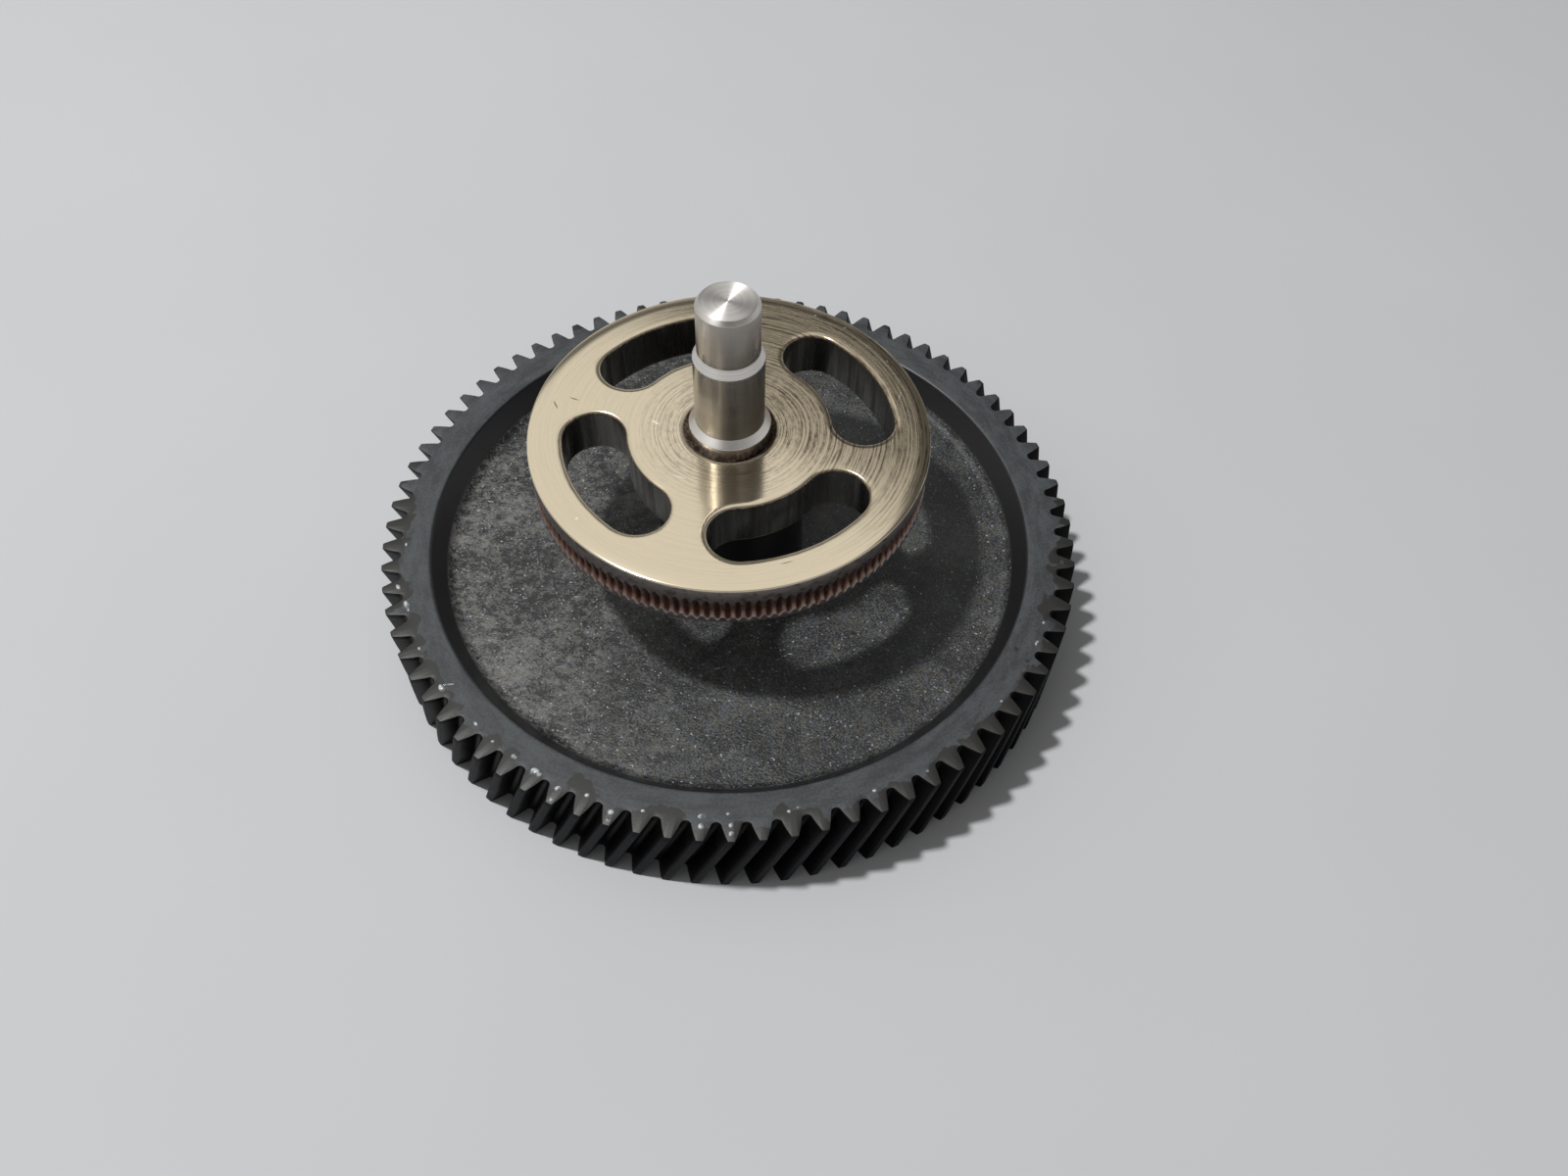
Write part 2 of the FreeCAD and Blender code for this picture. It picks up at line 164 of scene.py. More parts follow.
    # an oily film has crept in from the teeth on the front half, with a wandering edge
    creep = addNode(tree, "TexNoise", {"Scale": 1 / look["filmMm"], "Detail": 3.0, "Roughness": 0.6},
                    {"Vector": inMm})
    reach = addNode(tree, "MapRange", {1: 0.3, 2: 0.7, 3: -0.9, 4: 1.3}, {0: creep})
    depthways = addNode(tree, "SeparateXYZ", {}, {0: inMm}, out=1)
    fromFront = addNode(tree, "MapRange", {**smooth, 1: -4.0, 2: 9.0, 4: -1.6}, {0: depthways})
    filmReach = addNode(tree, "Math", plus, {0: reach, 1: fromFront})
    filmPlace = addNode(tree, "Math", plus, {0: radius, 1: filmReach})
    filmEdge = {1: look["filmRadius"], 2: look["filmRadius"] + 0.2}
    film = addNode(tree, "MapRange", {**smooth, **filmEdge}, {0: filmPlace})
    greasyRim = addNode(tree, "Mix", {**colorMix, 7: hexColor(look["grease"])},
                        {0: film, 6: wallColor}, out=2)
    color = addNode(tree, "Mix", colorMix, {0: web, 6: greasyRim, 7: webColor}, out=2)
    rimRough = addNode(tree, "MapRange", {1: 0.3, 2: 0.7, 3: 0.5, 4: 0.62}, {0: wipes})
    wallRough = addNode(tree, "Mix", {3: 0.3}, {0: wallIn, 2: rimRough})
    filmRough = addNode(tree, "Mix", {3: 0.48}, {0: film, 2: wallRough})
    webRough = addNode(tree, "MapRange", {1: 0.3, 2: 0.7, 3: 0.4, 4: 0.62}, {0: grain})
    roughness = addNode(tree, "Mix", {}, {0: web, 2: filmRough, 3: webRough})
    # the rim has a tenth of the web's relief
    rimHeight = addNode(tree, "Math", {**times, 1: 0.1}, {0: grain})
    relief = addNode(tree, "Mix", {}, {0: web, 2: rimHeight, 3: lightness})
    bump = addNode(tree, "Bump", {"Strength": 1.0, "Distance": 0.06 * mm}, {"Height": relief})
    shader = addNode(tree, "BsdfPrincipled", {"IOR": 1.48},
                     {"Base Color": color, "Roughness": roughness, "Normal": bump})
    addNode(tree, "OutputMaterial", {}, {"Surface": shader})
    return material


toothLook = {"flank": "#050506", "tip": "#212327", "tipRadius": 21.73, "roughness": 0.46, "smearMm": 1.111,
             "rippleMm": 0.3333}


def acetalOiled():
    # the same acetal on the tooth flanks, kept black by grease and painted blacker still as painted shade,
    # with tips rubbed dry and grey
    look = toothLook
    material, tree = startMaterial("acetalBlackOiled")
    at = placeOnPart(tree)
    tipEdge = {1: look["tipRadius"], 2: look["tipRadius"] + 0.035}
    dry = addNode(tree, "MapRange", {**smooth, **tipEdge}, {0: at["radius"]})
    smear = addNode(tree, "TexNoise", {"Scale": 1 / look["smearMm"], "Detail": 3.0}, {"Vector": at["inMm"]})
    smearMask = addNode(tree, "MapRange", {**smooth, 1: 0.25, 2: 0.6, 3: 0.3, 4: 1.0}, {0: smear})
    rubbed = addNode(tree, "Math", times, {0: dry, 1: smearMask})
    # the near-black flank colour is grease-darkened acetal and painted shade together
    hues = {6: hexColor(look["flank"]), 7: hexColor(look["tip"])}
    color = addNode(tree, "Mix", {**colorMix, **hues}, {0: rubbed}, out=2)
    roughness = addNode(tree, "MapRange", {3: look["roughness"], 4: 0.6}, {0: rubbed})
    ripple = addNode(tree, "TexNoise", {"Scale": 1 / look["rippleMm"], "Detail": 2.0}, {"Vector": at["inMm"]})
    bump = addNode(tree, "Bump", {"Strength": 0.3, "Distance": 0.04 * mm}, {"Height": ripple})
    shader = addNode(tree, "BsdfPrincipled", {"IOR": 1.4, "Specular IOR Level": 0.1},
                     {"Base Color": color, "Roughness": roughness, "Normal": bump})
    addNode(tree, "OutputMaterial", {}, {"Surface": shader})
    return material


# the second plate colour is the plate darkened as painted shade, used on one side of the face
faceLook = {"metal": "#dacdb3", "shadedPlate": "#b3a68e", "groove": "#5a5043", "rust": "#3a2213", "nick": "#f6f1e6",
            "scratch": "#4a3c30", "roughness": 0.08, "ringMm": 0.17, "longTurn": 2.2, "longMm": 0.1429,
            "shortTurn": 11.0, "shortMm": 0.1667, "crumbMm": 0.2222, "wornAndShadedToward": (0.77, 0.64, 0)}
# marks on the face in millimetres: x, y, half length, half width, turn in degrees, and how bright
faceMarks = [(-4.33, 0.19, 0.3, 0.09, -35, 1), (-10.28, 1.26, 0.42, 0.045, -62, 0),
             (-9.26, 1.8, 0.34, 0.045, -20, 0), (4.75, 9.94, 0.12, 0.1, 0, 1), (6.6, 8.9, 0.16, 0.07, 30, 1),
             (9.9, 3.2, 0.5, 0.03, 75, 1), (-2.6, -3.9, 0.5, 0.04, -20, 1), (1.2, -4.6, 0.6, 0.035, 12, 1),
             (-7.9, -7.2, 0.1, 0.08, 0, 1), (3.6, -9.6, 0.4, 0.03, 20, 0), (-1.5, 4.1, 0.35, 0.04, 60, 0),
             (9.2, 6.1, 0.1, 0.08, 0, 1)]


def nickelTurned():
    # nickel-plated steel faced on a lathe: a warm sheen broken by fine rings,
    # deepest by the bore and on one side, where the plate is also painted darker as painted shade
    look = faceLook
    material, tree = startMaterial("nickelPlatedTurned")
    at = placeOnPart(tree)
    rings = addNode(tree, "TexNoise", {"noise_dimensions": "1D", "Scale": 1 / look["ringMm"], "Detail": 4.0,
                                       "Roughness": 0.75}, {"W": at["radius"]})
    # scratches follow the rings: long arcs, and short ones between them
    longPlace = ringPlace(tree, at, look["longTurn"], look["longMm"])
    longMarks = addNode(tree, "TexNoise", {"Scale": 1.0, "Detail": 3.0, "Roughness": 0.65},
                        {"Vector": longPlace})
    shortPlace = ringPlace(tree, at, look["shortTurn"], look["shortMm"])
    shortMarks = addNode(tree, "TexNoise", {"Scale": 1.0, "Detail": 4.0, "Roughness": 0.7},
                         {"Vector": shortPlace})
    arcs = addNode(tree, "Mix", {0: 0.45}, {2: longMarks, 3: shortMarks})
    marks = addNode(tree, "Mix", {0: 0.55}, {2: rings, 3: arcs})
    nearBore = addNode(tree, "MapRange", {**smooth, 1: 6.4, 2: 3.4, 4: 0.55}, {0: at["radius"]})
    side = addNode(tree, "VectorMath", {**dot, 1: look["wornAndShadedToward"]}, {0: at["around"]}, out="Value")
    wornAndShaded = addNode(tree, "MapRange", {**smooth, 1: -0.1, 2: 0.75, 3: 0.06, 4: 1.0}, {0: side})
    strength = addNode(tree, "Math", {"operation": "MAXIMUM"}, {0: nearBore, 1: wornAndShaded})
    relief = addNode(tree, "Math", times, {0: marks, 1: strength})
    bump = addNode(tree, "Bump", {"Strength": 0.35, "Distance": 0.03 * mm}, {"Height": relief})
    # the rings' dark tint is strongest by the bore and on the shaded side, where it adds to the painted shade
    markMask = addNode(tree, "MapRange", {**smooth, 1: 0.46, 2: 0.6}, {0: marks})
    tintMask = addNode(tree, "Math", times, {0: markMask, 1: strength})
    # on that side the plate's colour is painted darker too: painted shade for the dim room that this side
    # mirrors
    sideShade = addNode(tree, "Math", {**times, 1: 0.75}, {0: wornAndShaded})
    plateHues = {6: hexColor(look["metal"]), 7: hexColor(look["shadedPlate"])}
    plate = addNode(tree, "Mix", {**colorMix, **plateHues}, {0: sideShade}, out=2)
    marked = addNode(tree, "Mix", {**colorMix, 7: hexColor(look["groove"])}, {0: tintMask, 6: plate}, out=2)
    # brown dirt sits along the slot edges and round the bore, where the mesh carries it as a value
    grime = addNode(tree, "Attribute", {"attribute_name": "grime"}, out="Fac")
    crumbs = addNode(tree, "TexNoise", {"Scale": 1 / look["crumbMm"], "Detail": 3.0}, {"Vector": at["inMm"]})
    crumbMask = addNode(tree, "MapRange", {1: 0.35, 2: 0.55, 3: 0.6, 4: 1.0}, {0: crumbs})
    dirt = addNode(tree, "Math", times, {0: grime, 1: crumbMask})
    # single nicks show bright where the plate is cut, and scratches dark where they hold dirt
    for x, y, halfLength, halfWidth, degrees, bright in faceMarks:
        spot = addNode(tree, "Mapping", {"vector_type": "TEXTURE", "Location": (x, y, 0),
                                         "Rotation": (0, 0, math.radians(degrees)),
                                         "Scale": (halfLength, halfWidth, 1)}, {"Vector": at["flat"]})
        away = addNode(tree, "VectorMath", {"operation": "LENGTH"}, {0: spot}, out="Value")
        inMark = addNode(tree, "MapRange", {1: 1.0, 2: 0.6, 4: 0.85}, {0: away})
        markColor = hexColor(look["nick"] if bright else look["scratch"])
        marked = addNode(tree, "Mix", {**colorMix, 7: markColor}, {0: inMark, 6: marked}, out=2)
    color = addNode(tree, "Mix", {**colorMix, 7: hexColor(look["rust"])}, {0: dirt, 6: marked}, out=2)
    metallic = addNode(tree, "MapRange", {3: 1.0, 4: 0.4}, {0: dirt})
    markSpan = {1: 0.3, 2: 0.7, 3: look["roughness"], 4: look["roughness"] + 0.12}
    markRough = addNode(tree, "MapRange", markSpan, {0: marks})
    roughness = addNode(tree, "Mix", {3: 0.6}, {0: dirt, 2: markRough})
    tangent = addNode(tree, "Tangent", {"direction_type": "RADIAL", "axis": "Z"})
    shader = addNode(tree, "BsdfPrincipled", {"Anisotropic": 0.5, "Anisotropic Rotation": 0.25},
                     {"Base Color": color, "Metallic": metallic, "Roughness": roughness, "Normal": bump,
                      "Tangent": tangent})
    addNode(tree, "OutputMaterial", {}, {"Surface": shader})
    return material


wallLook = {"metal": "#a5a4a1", "stain": "#7a756f", "roughness": 0.2, "cutterMm": 0.4902,
            "cutterLongMm": 6.667}


def nickelMilled():
    # the slot walls: milled before plating, darker than the face, with upright cutter marks
    look = wallLook
    material, tree = startMaterial("nickelPlatedMilled")
    at = placeOnPart(tree)
    across, along = 1 / look["cutterMm"], 1 / look["cutterLongMm"]
    upright = addNode(tree, "VectorMath", {**times, 1: (across, across, along)}, {0: at["inMm"]})
    cutter = addNode(tree, "TexNoise", {"Scale": 1.0, "Detail": 2.0}, {"Vector": upright})
    stainMask = addNode(tree, "MapRange", {**smooth, 1: 0.4, 2: 0.7}, {0: cutter})
    hues = {6: hexColor(look["metal"]), 7: hexColor(look["stain"])}
    color = addNode(tree, "Mix", {**colorMix, **hues}, {0: stainMask}, out=2)
    markSpan = {1: 0.3, 2: 0.7, 3: look["roughness"], 4: look["roughness"] + 0.15}
    roughness = addNode(tree, "MapRange", markSpan, {0: cutter})
    bump = addNode(tree, "Bump", {"Strength": 0.15, "Distance": 0.03 * mm}, {"Height": cutter})
    shader = addNode(tree, "BsdfPrincipled", {"Metallic": 1.0},
                     {"Base Color": color, "Roughness": roughness, "Normal": bump})
    addNode(tree, "OutputMaterial", {}, {"Surface": shader})
    return material


edgeLook = {"metal": "#625a56", "wornAndShaded": "#938b87", "dustAndSheen": "#341509", "brown": "#7b5442", "pitRadius": 11.4,
            "ridgeRadius": 11.55, "dustHeight": 12.8, "spotMm": 0.4545, "fineMm": 0.08333}


def nickelHobbed():
    # the same plate on the wheel's edge, where the teeth were cut and brown dust has packed between them
    look = edgeLook
    material, tree = startMaterial("nickelPlatedHobbed")
    at = placeOnPart(tree)
    radius, height = at["radius"], at["height"]
    pitSpan = {1: look["pitRadius"] + 0.16, 2: look["pitRadius"]}
    deep = addNode(tree, "MapRange", {**smooth, **pitSpan}, {0: radius})
    dustSpan = {1: look["dustHeight"] + 0.5, 2: look["dustHeight"]}
    below = addNode(tree, "MapRange", {**smooth, **dustSpan}, {0: height})
    spots = addNode(tree, "TexNoise", {"Scale": 1 / look["spotMm"], "Detail": 3.0, "Roughness": 0.6},
                    {"Vector": at["inMm"]})
    spotMask = addNode(tree, "MapRange", {**smooth, 1: 0.28, 2: 0.55}, {0: spots})
    reach = addNode(tree, "Math", times, {0: deep, 1: below})
    dusty = addNode(tree, "Math", times, {0: reach, 1: spotMask})
    hues = {6: hexColor(look["metal"]), 7: hexColor(look["wornAndShaded"])}
    metal = addNode(tree, "Mix", {**colorMix, **hues}, {0: spotMask}, out=2)
    # the ridges between the pits carry a thinner brown bloom
    ridgeSpan = {1: look["ridgeRadius"] + 0.105, 2: look["ridgeRadius"], 4: 0.75}
    shallow = addNode(tree, "MapRange", {**smooth, **ridgeSpan}, {0: radius})
    bloom = addNode(tree, "Math", times, {0: shallow, 1: below})
    browned = addNode(tree, "Mix", {**colorMix, 7: hexColor(look["brown"])}, {0: bloom, 6: metal}, out=2)
    color = addNode(tree, "Mix", {**colorMix, 7: hexColor(look["dustAndSheen"])}, {0: dusty, 6: browned}, out=2)
    metallic = addNode(tree, "MapRange", {3: 1.0, 4: 0.1}, {0: dusty})
    roughness = addNode(tree, "MapRange", {3: 0.34, 4: 0.75}, {0: dusty})
    fine = addNode(tree, "TexNoise", {"Scale": 1 / look["fineMm"], "Detail": 2.0}, {"Vector": at["inMm"]})
    bump = addNode(tree, "Bump", {"Strength": 0.25, "Distance": 0.02 * mm}, {"Height": fine})
    shader = addNode(tree, "BsdfPrincipled", {},
                     {"Base Color": color, "Metallic": metallic, "Roughness": roughness, "Normal": bump})
    addNode(tree, "OutputMaterial", {}, {"Surface": shader})
    return material


shaftLook = {"metal": "#e2dfda", "shade": "#cdc9c3", "ground": "#b5b1ac", "groundShade": "#98938d",
             "feedMm": 0.11, "cloudMm": 1.25, "endRoughness": 0.4, "endSpread": 0.9, "bevelRoughness": 0.22,
             "bevelSpread": 0.8, "groundRoughness": 0.2, "groundSpread": 0.8}


def stainlessTurned(name, lowRoughness, spread):
    # turned stainless: bright feed marks that fan the light out in a bow,
    # strongly on the ends, less on the bevels
    look = shaftLook
    material, tree = startMaterial(name)
    at = placeOnPart(tree)
    along = addNode(tree, "Math", plus, {0: at["height"], 1: at["radius"]})
    feed = addNode(tree, "TexNoise", {"noise_dimensions": "1D", "Scale": 1 / look["feedMm"], "Detail": 4.0,
                                      "Roughness": 0.7}, {"W": along})
    feedMask = addNode(tree, "MapRange", {**smooth, 1: 0.4, 2: 0.7}, {0: feed})
    hues = {6: hexColor(look["metal"]), 7: hexColor(look["shade"])}
    color = addNode(tree, "Mix", {**colorMix, **hues}, {0: feedMask}, out=2)
    feedSpan = {1: 0.3, 2: 0.7, 3: lowRoughness, 4: lowRoughness + 0.07}
    roughness = addNode(tree, "MapRange", feedSpan, {0: feed})
    bump = addNode(tree, "Bump", {"Strength": 0.2, "Distance": 0.01 * mm}, {"Height": feed})
    tangent = addNode(tree, "Tangent", {"direction_type": "RADIAL", "axis": "Z"})
    shader = addNode(tree, "BsdfPrincipled", {"Metallic": 1.0, "Anisotropic": spread,
                                              "Anisotropic Rotation": 0.25},
                     {"Base Color": color, "Roughness": roughness, "Normal": bump, "Tangent": tangent})
    addNode(tree, "OutputMaterial", {}, {"Surface": shader})
    return material


def stainlessGround():
    # the journals are ground and cloudy with oil stains; their colour is darker and a little browner than the
    # ends', a painted reflection of the dim room and the wheel's warm face, and the light is drawn out
    # lengthwise
    look = shaftLook
    material, tree = startMaterial("stainlessGround")
    at = placeOnPart(tree)
    lines = addNode(tree, "TexNoise", {"noise_dimensions": "1D", "Scale": 1 / look["feedMm"], "Detail": 3.0,
                                       "Roughness": 0.6}, {"W": at["height"]})
    clouds = addNode(tree, "TexNoise", {"Scale": 1 / look["cloudMm"], "Detail": 4.0, "Roughness": 0.6},
                     {"Vector": at["inMm"]})
    cloudMask = addNode(tree, "MapRange", {1: 0.3, 2: 0.9}, {0: clouds})
    # these ground colours, darker than the ends', are painted reflection
    hues = {6: hexColor(look["ground"]), 7: hexColor(look["groundShade"])}
    color = addNode(tree, "Mix", {**colorMix, **hues}, {0: cloudMask}, out=2)
    lineSpan = {1: 0.3, 2: 0.7, 3: look["groundRoughness"], 4: look["groundRoughness"] + 0.06}
    roughness = addNode(tree, "MapRange", lineSpan, {0: lines})
    bump = addNode(tree, "Bump", {"Strength": 0.15, "Distance": 0.01 * mm}, {"Height": lines})
    tangent = addNode(tree, "Tangent", {"direction_type": "RADIAL", "axis": "Z"})
    shader = addNode(tree, "BsdfPrincipled", {"Metallic": 1.0, "Anisotropic": look["groundSpread"],
                                              "Anisotropic Rotation": 0.25},
                     {"Base Color": color, "Roughness": roughness, "Normal": bump, "Tangent": tangent})
    addNode(tree, "OutputMaterial", {}, {"Surface": shader})
    return material


# the pale bead colour is a painted glint
greaseLook = {"clear": "#5d6163", "glintPale": "#c3c6c7", "roughness": 0.16, "cloudMm": 0.4167}


def greaseClear():
    # grease squeezed out in beads: wet and nearly clear, with pale patches painted in as their glints, and a
    # sharp glint from the coat
    look = greaseLook
    material, tree = startMaterial("lithiumGreaseSqueezed")
    at = placeOnPart(tree)
    cloud = addNode(tree, "TexNoise", {"Scale": 1 / look["cloudMm"], "Detail": 2.0}, {"Vector": at["inMm"]})
    # the pale patches are painted glints
    cloudMask = addNode(tree, "MapRange", {**smooth, 1: 0.4, 2: 0.62}, {0: cloud})
    hues = {6: hexColor(look["clear"]), 7: hexColor(look["glintPale"])}
    color = addNode(tree, "Mix", {**colorMix, **hues}, {0: cloudMask}, out=2)
    shader = addNode(tree, "BsdfPrincipled", {"Roughness": look["roughness"], "IOR": 1.47, "Coat Weight": 1.0,
                                              "Coat Roughness": 0.05}, {"Base Color": color})
    addNode(tree, "OutputMaterial", {}, {"Surface": shader})
    return material


gearMat = acetalMoulded()
toothMat = acetalOiled()
faceMat = nickelTurned()
wallMat = nickelMilled()
edgeMat = nickelHobbed()
endMat = stainlessTurned("stainlessTurnedEnd", shaftLook["endRoughness"], shaftLook["endSpread"])
bevelMat = stainlessTurned("stainlessTurnedBevel", shaftLook["bevelRoughness"], shaftLook["bevelSpread"])
groundMat = stainlessGround()
greaseMat = greaseClear()
print("materials made")


def finishPiece(name, work, materials, node, sharpAngle):
    # work is a closed bmesh in millimetres; node is the CAD node that the piece stands for, or None for dirt
    bmesh.ops.recalc_face_normals(work, faces=work.faces)
    bmesh.ops.scale(work, vec=(mm, mm, mm), verts=work.verts)
    mesh = bpy.data.meshes.new(name)
    work.to_mesh(mesh)
    work.free()
    mesh.shade_smooth()
    mesh.set_sharp_from_angle(angle=math.radians(sharpAngle))
    for material in materials:
        mesh.materials.append(material)
    piece = bpy.data.objects.new(name, mesh)
    bpy.context.scene.collection.objects.link(piece)
    weigh = piece.modifiers.new("flatFacesStayFlat", "WEIGHTED_NORMAL")
    weigh.keep_sharp = True
    weigh.weight = 80
    weigh.thresh = 5e-8  # square metres: only faces that differ by more than this weigh differently
    if node:
        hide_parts(node)
    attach(piece, "root")
    print(name + ":", len(mesh.polygons), "faces")


def addRing(work, ring, grime=0.0):
    # grime is kept on the points, for the materials that show dirt
    layer = work.verts.layers.float.get("grime") or work.verts.layers.float.new("grime")
    made = [work.verts.new(p) for p in ring]
    for vert in made:
        vert[layer] = grime
    return made


def joinRings(work, first, second, materialIndex=0):
    # rings of one length, or the second shorter by a whole number: then its faces take several points each
    ratio = len(first) // len(second)
    for i in range(len(second)):
        j = (i + 1) % len(second)
        wide = [first[(i * ratio + k) % len(first)] for k in range(ratio + 1)]
        work.faces.new(wide + [second[j], second[i]]).material_index = materialIndex


def circle(radius, height, count, turn=0.0):
    steps = [turn + 2 * math.pi * i / count for i in range(count)]
    return [(radius * math.cos(a), radius * math.sin(a), height) for a in steps]


def roundedProfile(corners, steps=5):
    # corners are (radius, height, rounding); each one with a rounding becomes an arc
    profile = []
    total = len(corners)
    for i, (r, z, rounding) in enumerate(corners):
        if rounding <= 0:
            profile.append((r, z))
            continue
        here = Vector((r, z))
        back = (Vector(corners[i - 1][:2]) - here).normalized()
        ahead = (Vector(corners[(i + 1) % total][:2]) - here).normalized()
        turn = math.pi - back.angle(ahead)
        reach = rounding * math.tan(turn / 2)
        middle = here + (back + ahead).normalized() * (rounding / math.cos(turn / 2))
        first, last = here + back * reach - middle, here + ahead * reach - middle
        for k in range(steps + 1):
            arm = (first * (1 - k / steps) + last * (k / steps)).normalized()
            profile.append(tuple(middle + arm * rounding))
    return profile


# millimetres and degrees; rootDepth and rootRound are in modules, and phase turns the first tooth
gear = {"teeth": 80, "module": 0.5, "helix": 20.0, "pressure": 20.0, "rootDepth": 1.25, "rootRound": 0.42,
        "tipRound": 0.05, "toothEdge": 0.045, "rootSteps": 4, "flankSteps": 4, "layers": 9, "width": 5.8,
        "phase": 3.44, "recess": 18.85, "depth": 1.75, "slope": 32.0, "webRound": 0.6, "rimRound": 0.3,
        "rimRing": 20.35, "hub": 4.5, "hubTop": 11.55, "hubRound": 0.5, "hubEdge": 0.12, "bore": 2.37,
        "innerShare": 4}


def toothOutline(pitchRadius, baseRadius, alpha):
    # from the middle of one tooth space to the next, as (radius, angle):
    # round root, involute flanks, and a round tip of two more points a side
    g = gear
    tip, root = pitchRadius + g["module"], pitchRadius - g["rootDepth"] * g["module"]
    pitch = 2 * math.pi / g["teeth"]

    def halfTooth(r):
        press = math.acos(baseRadius / r)
        return math.pi / (2 * g["teeth"]) + (math.tan(alpha) - alpha) - (math.tan(press) - press)

    filletTop = root + g["rootRound"] * g["module"]
    flankTop = tip - g["tipRound"]
    halfSpace = pitch / 2 - halfTooth(filletTop)
    half = []
    for k in range(g["rootSteps"]):
        swing = math.pi / 2 * k / g["rootSteps"]
        r = filletTop - (filletTop - root) * math.cos(swing)
        half.append((r, -pitch / 2 + halfSpace * math.sin(swing)))
    for k in range(g["flankSteps"] + 1):
        r = filletTop + (flankTop - filletTop) * k / g["flankSteps"]
        half.append((r, -halfTooth(r)))
    half.append((tip - g["tipRound"] * 0.24, -halfTooth(tip) * 0.93))
    half.append((tip, -halfTooth(tip) * 0.6))
    return half + [(r, -a) for r, a in reversed(half[1:])]


def gearMesh():
    g = gear
    beta = math.radians(g["helix"])
    pitchRadius = g["teeth"] * g["module"] / math.cos(beta) / 2
    alpha = math.atan(math.tan(math.radians(g["pressure"])) / math.cos(beta))
    tooth = toothOutline(pitchRadius, pitchRadius * math.cos(alpha), alpha)
    pitch = 2 * math.pi / g["teeth"]
    outline = []
    for k in range(g["teeth"]):
        outline += [Vector((r * math.cos(a + k * pitch), r * math.sin(a + k * pitch))) for r, a in tooth]
    count = len(outline)
    inward = []
    for i in range(count):
        run = outline[(i + 1) % count] - outline[i - 1]
        inward.append(Vector((-run.y, run.x)).normalized())
    lead = math.tan(beta) / pitchRadius  # turn per millimetre of height
    phase = math.radians(g["phase"])
    work = bmesh.new()
    soft, width, layers = g["toothEdge"], g["width"], g["layers"]
    # levels from the lower face up: the height, and how far the outline is drawn in to round its edge
    levels = [(0.0, soft), (soft * 0.3, soft * 0.3)]
    levels += [(soft + (width - 2 * soft) * k / layers, 0.0) for k in range(layers + 1)]
    levels += [(width - soft * 0.3, soft * 0.3), (width, soft)]
    rings = []
    for z, inset in levels:
        turn = phase - (width - z) * lead
        c, s = math.cos(turn), math.sin(turn)
        pulled = [p + n * inset for p, n in zip(outline, inward)]
        rings.append(addRing(work, [(q.x * c - q.y * s, q.x * s + q.y * c, z) for q in pulled]))
    for low, high in zip(rings, rings[1:]):
        joinRings(work, low, high, materialIndex=1)
    foot = g["recess"] - g["depth"] * math.tan(math.radians(g["slope"]))
    corners = [(g["rimRing"], width, 0), (g["recess"], width, g["rimRound"]),
               (foot, width - g["depth"], g["webRound"]), (g["hub"], width - g["depth"], g["hubRound"]),
               (g["hub"], g["hubTop"], g["hubEdge"]), (g["bore"], g["hubTop"], 0), (g["bore"], 0, 0),
               (g["hub"], 0, g["hubEdge"]), (g["hub"], g["depth"], g["hubRound"]),
               (foot, g["depth"], g["webRound"]),
               (g["recess"], 0, g["rimRound"]), (g["rimRing"], 0, 0)]
    inner = []
    step = tooth[0][1]
    midWeb = (foot + g["hub"]) / 2
    for r, z in roundedProfile(corners):
        # the lower rim follows the teeth's twist
        lag = width * lead if z < width / 2 and r > midWeb else 0.0
        inner.append(addRing(work, circle(r, z, count // g["innerShare"], phase - lag + step)))
    joinRings(work, rings[-1], inner[0])
    for outer, nearer in zip(inner, inner[1:]):
        joinRings(work, outer, nearer)
    joinRings(work, rings[0], inner[-1])
    finishPiece("helicalGear", work, [gearMat, toothMat], "helical_gear", sharpAngle=35)


gearMesh()

# beads of grease in millimetres: x, y, half length, half width, turn in degrees
greaseBeads = [(-19.25, -6.93, 0.5, 0.17, -60), (-19.75, -6.6, 0.24, 0.13, -50),
               (-16.2, -12.6, 0.3, 0.17, -45), (-15.75, -13.1, 0.26, 0.14, -40),
               (-15.2, -13.2, 0.4, 0.08, 10), (-9.86, -18.0, 0.36, 0.24, -25),
               (-10.4, -17.6, 0.2, 0.15, -30), (-8.6, -18.9, 0.2, 0.16, 0),
               (-8.43, -19.82, 0.15, 0.13, 0), (-5.46, -20.26, 0.2, 0.17, 0),
               (-5.51, -20.72, 0.17, 0.15, 0), (-6.29, -19.5, 0.14, 0.12, 0),
               (-0.4, -20.89, 0.18, 0.17, 0), (-0.51, -20.3, 0.15, 0.14, 0), (0.42, -20.3, 0.24, 0.15, 8),
               (0.99, -21.27, 0.16, 0.16, 0), (1.25, -20.75, 0.17, 0.17, 0), (1.0, -20.1, 0.11, 0.1, 0),
               (4.81, -19.56, 0.16, 0.14, 0), (4.29, -19.81, 0.11, 0.1, 0), (9.61, -18.0, 0.13, 0.11, 0),
               (11.25, -17.43, 0.11, 0.1, 0), (15.9, -12.9, 0.11, 0.1, 0), (18.8, -8.08, 0.2, 0.1, 65),
               (19.1, -7.2, 0.12, 0.09, 65), (-20.2, -2.4, 0.14, 0.09, -80),
               (-18.0, -9.9, 0.13, 0.09, -60), (-13.1, -15.6, 0.2, 0.1, -40),
               (-12.4, -16.3, 0.11, 0.1, 0), (-3.2, -20.2, 0.12, 0.1, 0)]
beadShape = {"sink": 0.03, "rise": 0.62, "uneven": 0.14, "sides": 24, "rows": 7, "rimEnd": 20.45}


